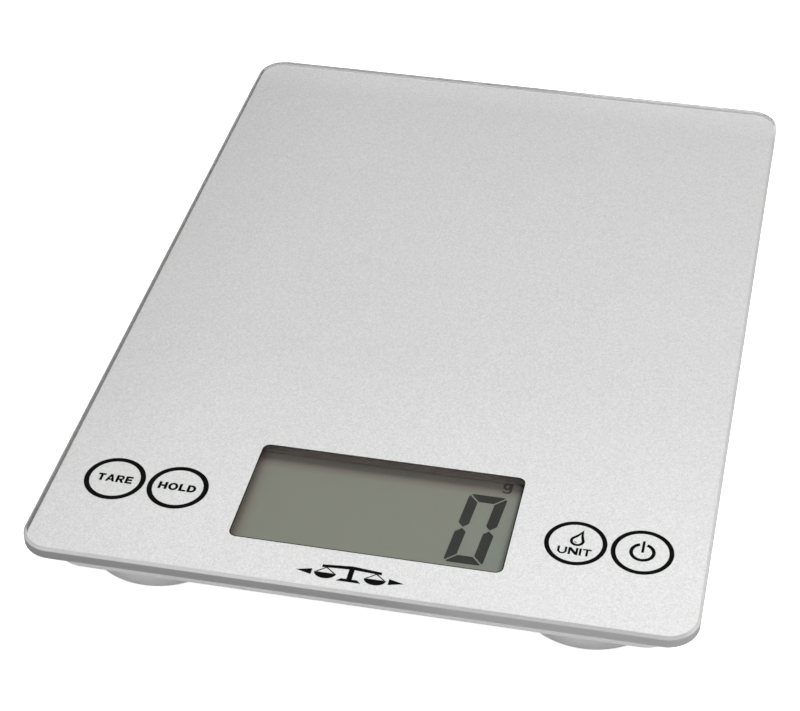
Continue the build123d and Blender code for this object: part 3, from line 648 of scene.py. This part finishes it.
def slab_mesh(name, half_size, radius, profile):
    """Closed slab. profile lists (inset, height) rings from the top face's rim to the bottom's."""
    bm = bmesh.new()
    rings = []
    for inset, height in profile:
        half = (half_size[0] - inset, half_size[1] - inset)
        rings.append([bm.verts.new((x, y, height)) for x, y in rounded_outline(half, radius - inset)])
    for upper, lower in zip(rings, rings[1:]):
        for index, corner in enumerate(upper):
            following = (index + 1) % len(upper)
            face = bm.faces.new((corner, lower[index], lower[following], upper[following]))
            face.smooth = True
    bm.faces.new(rings[0])
    bm.faces.new(list(reversed(rings[-1])))
    for ring in rings:
        for index, corner in enumerate(ring):
            following = ring[(index + 1) % len(ring)]
            bm.edges.get((corner, following)).smooth = False
    bmesh.ops.recalc_face_normals(bm, faces=bm.faces)
    mesh = bpy.data.meshes.new(name)
    bm.to_mesh(mesh)
    bm.free()
    return mesh


def weld(mesh):
    bm = bmesh.new()
    bm.from_mesh(mesh)
    bmesh.ops.remove_doubles(bm, verts=bm.verts, dist=0.0005 * MM)
    bmesh.ops.recalc_face_normals(bm, faces=bm.faces)
    bm.to_mesh(mesh)
    bm.free()


def mesh_of_curve(curve, low, high):
    """Solid plate between two heights from a filled flat curve."""
    curve.extrude = (high - low) / 2
    holder = bpy.data.objects.new("holder", curve)
    bpy.context.scene.collection.objects.link(holder)
    graph = bpy.context.evaluated_depsgraph_get()
    mesh = bpy.data.meshes.new_from_object(holder.evaluated_get(graph), depsgraph=graph)
    bpy.data.objects.remove(holder)
    mesh.transform(Matrix.Translation((0.0, 0.0, (low + high) / 2)))
    weld(mesh)
    return mesh


def plate_mesh(name, outlines, low, high):
    """Plate between two heights; an outline inside another one is a hole."""
    curve = bpy.data.curves.new(name, "CURVE")
    curve.dimensions = "2D"
    curve.fill_mode = "BOTH"
    for outline in outlines:
        spline = curve.splines.new("POLY")
        spline.points.add(len(outline) - 1)
        for point, (x, y) in zip(spline.points, outline):
            point.co = (x, y, 0.0, 1.0)
        spline.use_cyclic_u = True
    return mesh_of_curve(curve, low, high)


def ellipse_arc(centre, reach, first, last, steps=18):
    """Points along an ellipse, angles in degrees."""
    points = []
    for step in range(steps + 1):
        angle = math.radians(first + (last - first) * step / steps)
        points.append((centre[0] + reach[0] * math.cos(angle), centre[1] + reach[1] * math.sin(angle)))
    return points


def bold_letters(stem, bar):
    """Plain bold capitals on a height of 1: advance width and outlines."""
    wide = 0.92
    inner = wide - stem
    high = 0.5 + bar / 2
    low = 0.5 - bar / 2
    roof = 1.0 - bar
    bowl_d = [(0.0, 0.0)] + ellipse_arc((0.44, 0.5), (0.48, 0.5), -90, 90) + [(0.0, 1.0)]
    eye_d = ellipse_arc((0.40, 0.5), (inner - 0.40, 0.5 - bar), -90, 90)
    eye_d = [(stem, bar)] + eye_d + [(stem, roof)]
    bowl_r = [(0.0, 0.0), (stem, 0.0), (stem, 0.35), (0.38, 0.35), (0.62, 0.0), (wide, 0.0)]
    bowl_r += [(0.68, 0.40)] + ellipse_arc((0.56, 0.68), (0.32, 0.32), -60, 90, 12) + [(0.0, 1.0)]
    eye_r = [(stem, 0.56)] + ellipse_arc((0.52, 0.67), (0.11, 0.11), -90, 90, 10) + [(stem, roof)]
    cup_u = [(0.0, 1.0)] + ellipse_arc((wide / 2, 0.42), (wide / 2, 0.44), 180, 360)
    cup_u += [(wide, 1.0), (inner, 1.0)]
    cup_u += ellipse_arc((wide / 2, 0.42), (wide / 2 - stem, 0.44 - bar), 360, 180) + [(stem, 1.0)]
    bars_e = [(0.0, 0.0), (0.80, 0.0), (0.80, bar), (stem, bar), (stem, low), (0.74, low)]
    bars_e += [(0.74, high), (stem, high), (stem, roof), (0.78, roof), (0.78, 1.0), (0.0, 1.0)]
    bars_h = [(0.0, 0.0), (stem, 0.0), (stem, low), (inner, low), (inner, 0.0), (wide, 0.0)]
    bars_h += [(wide, 1.0), (inner, 1.0), (inner, high), (stem, high), (stem, 1.0), (0.0, 1.0)]
    bars_n = [(0.0, 0.0), (stem, 0.0), (stem, 0.56), (inner - 0.03, 0.0), (wide, 0.0), (wide, 1.0)]
    bars_n += [(inner, 1.0), (inner, 0.44), (stem + 0.03, 1.0), (0.0, 1.0)]
    post_t = 0.41
    bars_t = [(0.0, 1.0), (0.0, roof), (post_t - stem / 2, roof), (post_t - stem / 2, 0.0)]
    bars_t += [(post_t + stem / 2, 0.0), (post_t + stem / 2, roof), (0.82, roof), (0.82, 1.0)]
    legs_a = [(0.0, 0.0), (0.27, 0.0), (0.34, 0.20), (0.66, 0.20), (0.73, 0.0), (1.0, 0.0)]
    legs_a += [(0.64, 1.0), (0.36, 1.0)]
    ring_o = [
        ellipse_arc((0.52, 0.5), (0.52, 0.52), 0, 345, 23),
        ellipse_arc((0.52, 0.5), (0.52 - stem, 0.52 - bar), 0, 345, 23),
    ]
    return {
        "A": (1.0, [legs_a, [(0.41, 0.40), (0.59, 0.40), (0.50, 0.68)]]),
        "D": (wide, [bowl_d, eye_d]),
        "E": (0.80, [bars_e]),
        "H": (wide, [bars_h]),
        "I": (stem, [[(0.0, 0.0), (stem, 0.0), (stem, 1.0), (0.0, 1.0)]]),
        "L": (0.76, [[(0.0, 0.0), (0.76, 0.0), (0.76, bar), (stem, bar), (stem, 1.0), (0.0, 1.0)]]),
        "N": (wide, [bars_n]),
        "O": (1.04, ring_o),
        "R": (wide, [bowl_r, eye_r]),
        "T": (0.82, [bars_t]),
        "U": (wide, [cup_u]),
    }


def word_outlines(word, low_corner, high_corner, stem, bar, gap=0.11):
    """Outlines of a word fitted into a box."""
    letters = bold_letters(stem, bar)
    outlines = []
    pen = 0.0
    for letter in word:
        advance, shapes = letters[letter]
        outlines += [[(x + pen, y) for x, y in shape] for shape in shapes]
        pen += advance + gap
    width = pen - gap
    left, front = low_corner
    scale_x = (high_corner[0] - left) / width
    scale_y = high_corner[1] - front
    return [[(left + x * scale_x, front + y * scale_y) for x, y in shape] for shape in outlines]


def gram_outlines():
    """Single-storey small g, 2.4 wide and 3.85 tall, from its lower left corner."""
    body = [(1.80, 3.85)] + ellipse_arc((1.10, 2.60), (1.10, 1.30), 50, 310, 24)
    body += ellipse_arc((1.10, 1.02), (0.70, 0.47), 0, -150, 12)
    body += ellipse_arc((1.17, 1.00), (1.23, 1.00), 195, 360, 18) + [(2.40, 3.85)]
    return [body, ellipse_arc((1.12, 2.60), (0.42, 0.66), 0, 345, 23)]


# ------------------------------------------------------------------ platform


def make_platform():
    """Glass with a polished arris round both faces."""
    half = ((GLASS_HIGH.x - GLASS_LOW.x) / 2, (GLASS_HIGH.y - GLASS_LOW.y) / 2)
    top, bottom = GLASS_HIGH.z, GLASS_LOW.z
    soften = EDGE_SOFTNESS
    profile = [
        (ARRIS + soften, top),
        (ARRIS - soften * 0.5, top - soften * 0.5),
        (soften * 0.5, top - ARRIS + soften * 0.5),
        (0.0, top - ARRIS - soften),
        (0.0, bottom + ARRIS + soften),
        (soften * 0.5, bottom + ARRIS - soften * 0.5),
        (ARRIS - soften * 0.5, bottom + soften * 0.5),
        (ARRIS + soften, bottom),
    ]
    mesh = slab_mesh("glass_slab", half, CORNER_RADIUS, profile)
    piece = new_piece("glass_slab", mesh, platform_glass())
    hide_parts("glass_platform")


def make_silver_print():
    half = ((PRINT_HIGH.x - PRINT_LOW.x) / 2, (PRINT_HIGH.y - PRINT_LOW.y) / 2)
    rim = rounded_outline(half, CORNER_RADIUS - ARRIS)
    window = rounded_outline(WINDOW_SIZE / 2, WINDOW_RADIUS, WINDOW_CENTRE)
    mesh = plate_mesh("silver_print", [rim, window], PRINT_LOW.z, SILVER_TOP)
    piece = new_piece("silver_print", mesh, silver_ink())
    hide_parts("printed_backing")


def mark(name, outlines, ink):
    return new_piece(name, plate_mesh(name, outlines, MARK_BOTTOM, MARK_TOP), ink)


def make_window_edge(ink):
    """Thin black line round the window."""
    grow = Vector((WINDOW_LINE_OVERLAP, WINDOW_LINE_OVERLAP))
    shrink = Vector((WINDOW_LINE, WINDOW_LINE))
    outer = rounded_outline(WINDOW_SIZE / 2 + grow, WINDOW_RADIUS, WINDOW_CENTRE)
    inner = rounded_outline(WINDOW_SIZE / 2 - shrink, WINDOW_RADIUS - WINDOW_LINE, WINDOW_CENTRE)
    mark("window_edge", [outer, inner], ink)


def make_key_rings(ink):
    for number, (centre, stroke) in enumerate(zip(KEY_CENTRES, KEY_RING_STROKES), 1):
        outer = circle_outline(centre, KEY_RING_RADIUS + stroke / 2)
        inner = circle_outline(centre, KEY_RING_RADIUS - stroke / 2)
        mark(f"key_ring_{number}", [outer, inner], ink)


def make_key_legends(ink):
    for name, word, low, high, stem, bar in LEGENDS:
        mark(name, word_outlines(word, Vector(low) * MM, Vector(high) * MM, stem, bar), ink)


def make_power_symbol(ink):
    centre = KEY_CENTRES[3]
    radius, stroke, bar_width = 2.75 * MM, 0.92 * MM, 0.66 * MM
    half_opening = 0.9 * MM
    gap = math.asin(half_opening / radius)
    first, last = math.pi / 2 + gap, 2.5 * math.pi - gap
    outer = arc_points(centre, radius + stroke / 2, first, last)
    inner = arc_points(centre, radius - stroke / 2, last, first)
    mark("power_ring", [outer + inner], ink)
    half = bar_width / 2
    bar_low, bar_high = centre.y - 0.1 * MM, centre.y + 3.9 * MM
    bar = [
        (centre.x - half, bar_low),
        (centre.x + half, bar_low),
        (centre.x + half, bar_high),
        (centre.x - half, bar_high),
    ]
    mark("power_bar", [bar], ink)


def drop_outline(tip, centre, radius, steps=40):
    """Teardrop: a round bottom joined to a tip by curved sides."""
    reach = tip - centre
    heading = math.atan2(reach.y, reach.x)
    round_half = math.radians(115)
    side_bend = 0.10
    points = []
    for step in range(steps + 1):
        t = -1 + 2 * step / steps
        angle = heading + math.pi + t * round_half
        points.append((centre.x + radius * math.cos(angle), centre.y + radius * math.sin(angle)))
    start, end = Vector(points[-1]), Vector(points[0])
    side = 10
    rising = []
    falling = []
    for step in range(1, side):
        t = step / side
        bend = side_bend * math.sin(math.pi * t)
        rising.append(tuple(start.lerp(tip, t) + (centre - start) * bend))
        falling.append(tuple(tip.lerp(end, t) + (centre - end) * bend))
    return points + rising + [tuple(tip)] + falling


def make_drop_symbol(ink):
    tip = Vector((51.25, -81.75)) * MM
    centre = Vector((50.1, -85.9)) * MM
    stroke = 0.74 * MM
    radius = 1.8 * MM
    tip_solid = 1.7 * MM
    toward = (centre - tip).normalized()
    outer = drop_outline(tip, centre, radius)
    inner = drop_outline(tip + toward * tip_solid, centre, radius - stroke)
    mark("drop_outline", [outer, inner], ink)
    first, last = math.radians(195), math.radians(265)
    glint = arc_points(centre, 0.75 * MM, first, last, 10)
    glint += arc_points(centre, 0.5 * MM, last, first, 10)
    mark("drop_glint", [glint], ink)


def make_balance_emblem(ink):
    """Two-pan balance between two tapered rules. Its shapes are in millimetres from its centre."""
    pan_reach, pan_rim = 6.1, -0.5
    pan_size = (2.7, 1.95)
    cord_spread, half_cord = 2.2, 0.25
    cord_top, cord_low = 1.3, -0.45

    def shape(*points):
        return [(EMBLEM_CENTRE.x + x * MM, EMBLEM_CENTRE.y + y * MM) for x, y in points]

    beam = [(-7.3, 1.2), (-0.6, 1.6), (0.6, 1.6), (7.3, 1.2), (7.3, 2.1), (0.0, 2.8), (-7.3, 2.1)]
    mark("emblem_beam", [shape(*beam)], ink)
    post = [(-0.65, -1.75), (0.65, -1.75), (0.65, 1.7), (-0.65, 1.7)]
    mark("emblem_post", [shape(*post)], ink)
    foot = [(-3.0, -2.6), (3.0, -2.6), (2.0, -1.65), (-2.0, -1.65)]
    mark("emblem_foot", [shape(*foot)], ink)
    for side, side_name in ((-1, "left"), (1, "right")):
        pan_x = pan_reach * side
        bowl = ellipse_arc((pan_x, pan_rim), pan_size, 180, 360, 20)
        mark(f"emblem_pan_{side_name}", [shape(*bowl)], ink)
        for lean, cord_name in ((-cord_spread, "a"), (cord_spread, "b")):
            low_x = pan_x + lean
            cord = [(pan_x - half_cord, cord_top), (low_x - half_cord, cord_low)]
            cord += [(low_x + half_cord, cord_low), (pan_x + half_cord, cord_top)]
            mark(f"emblem_cord_{side_name}_{cord_name}", [shape(*cord)], ink)
        rule = shape((9.4 * side, -1.7), (13.3 * side, -0.7), (9.4 * side, 0.3))
        mark(f"emblem_rule_{side_name}", [rule], ink)


# ------------------------------------------------------------------ display


def segment_shapes():
    """Outlines of the six lit segments of a nought, upright, inside the digit's own box."""
    left, right, front, back = DIGIT_LEFT, DIGIT_RIGHT, DIGIT_FRONT, DIGIT_BACK
    width, gap, blunt = SEGMENT_WIDTH, SEGMENT_GAP, SEGMENT_BLUNT
    middle = (front + back) / 2
    slip = gap / math.sqrt(2)
    bevel = blunt * 0.35
    depth = width - slip * 0.9
    mitre = width + slip * 0.1
    shapes = []
    for edge, inward in ((back, -1), (front, 1)):
        shapes.append(
            [
                (left + slip + blunt, edge),
                (right - slip - blunt, edge),
                (right - slip - bevel, edge + inward * bevel),
                (right - mitre, edge + inward * depth),
                (left + mitre, edge + inward * depth),
                (left + slip + bevel, edge + inward * bevel),
            ]
        )
    for edge, inward in ((left, 1), (right, -1)):
        for end, toward in ((back, -1), (front, 1)):
            tip = middle - toward * gap / 2
            shapes.append(
                [
                    (edge, end + toward * (slip + blunt)),
                    (edge + inward * bevel, end + toward * (slip + bevel)),
                    (edge + inward * depth, end + toward * mitre),
                    (edge + inward * depth, tip - toward * width * 0.42),
                    (edge + inward * width * 0.5, tip),
                    (edge, tip - toward * width * 0.5),
                ]
            )
    return shapes


def make_display_content():
    ink = segment_ink()
    low = DISPLAY_TOP + SEGMENT_LIFT
    high = low + SEGMENT_THICKNESS
    for number, shape in enumerate(segment_shapes(), 1):
        leaned = [(x + (y - DIGIT_FRONT) * DIGIT_LEAN, y) for x, y in shape]
        name = f"display_segment_{number}"
        new_piece(name, plate_mesh(name, [leaned], low, high), ink)
    left, front = GRAM_CORNER
    gram = [[(left + x * MM, front + y * MM) for x, y in shape] for shape in gram_outlines()]
    new_piece("display_gram", plate_mesh("display_gram", gram, low, high), ink)


# ------------------------------------------------------------------ CAD nodes


def slot_materials():
    return {
        "adhesive_tape": foam_tape(),
        "base_plastic": moulded_plastic("base_plastic", (0.62, 0.62, 0.63), 0.5),
        "foot_plastic": moulded_plastic("foot_plastic", (0.68, 0.68, 0.69), 0.45),
        "inner_plastic": moulded_plastic("inner_plastic", (0.62, 0.62, 0.60), 0.5),
        "black_plastic": moulded_plastic("black_plastic", (0.02, 0.02, 0.02), 0.6),
        "foot_rubber": soft_rubber("foot_rubber", (0.16, 0.16, 0.165)),
        "display_film": display_film(),
        "display_glass": display_glass(),
        "contact_elastomer": layered_rubber(),
        "board_laminate": circuit_board(),
        "chip_epoxy": epoxy(),
        "ceramic_chip": moulded_plastic("ceramic_chip", (0.32, 0.22, 0.13), 0.5),
        "flex_film": amber_film(),
        "copper": plated_metal("copper", (0.75, 0.40, 0.22), 0.3),
        "spring_steel": plated_metal("spring_steel", (0.56, 0.56, 0.57), 0.32, (1, 12, 1)),
        "nickel_plate": plated_metal("nickel_plate", (0.66, 0.65, 0.62), 0.25),
        "wire_black": moulded_plastic("wire_black", (0.015, 0.015, 0.015), 0.4),
        "wire_red": moulded_plastic("wire_red", (0.35, 0.01, 0.01), 0.4),
        "wire_white": moulded_plastic("wire_white", (0.7, 0.7, 0.7), 0.4),
    }


def dress_cad_nodes():
    """Every shown CAD node takes the material of its slot, with smooth faces and crisp edges."""
    materials = slot_materials()
    for entry in frame["record"]["subparts"]:
        slot_name = entry["material_slot"]
        if slot_name not in materials:
            continue
        mesh = NODES[entry["node"]].data
        mesh.shade_smooth()
        mesh.set_sharp_from_angle(angle=CRISP_ANGLE)
        mesh.materials.clear()
        mesh.materials.append(materials[slot_name])


# ------------------------------------------------------------------ scene


def make_floor():
    corners = ((-1, -1), (1, -1), (1, 1), (-1, 1))
    points = [(x * FLOOR_REACH, y * FLOOR_REACH, FLOOR_LEVEL) for x, y in corners]
    mesh = bpy.data.meshes.new("floor")
    mesh.from_pydata(points, [], [(0, 1, 2, 3)])
    mesh.materials.append(floor_paper())
    floor = bpy.data.objects.new("floor", mesh)
    bpy.context.scene.collection.objects.link(floor)


make_camera()
make_world()
for lamp in LAMPS:
    area_light(*lamp)
make_floor()

make_platform()
make_silver_print()
marks_ink = black_ink()
make_window_edge(marks_ink)
make_key_rings(marks_ink)
make_key_legends(marks_ink)
make_power_symbol(marks_ink)
make_drop_symbol(marks_ink)
make_balance_emblem(marks_ink)
make_display_content()
dress_cad_nodes()

bpy.context.scene.view_settings.view_transform = "Standard"
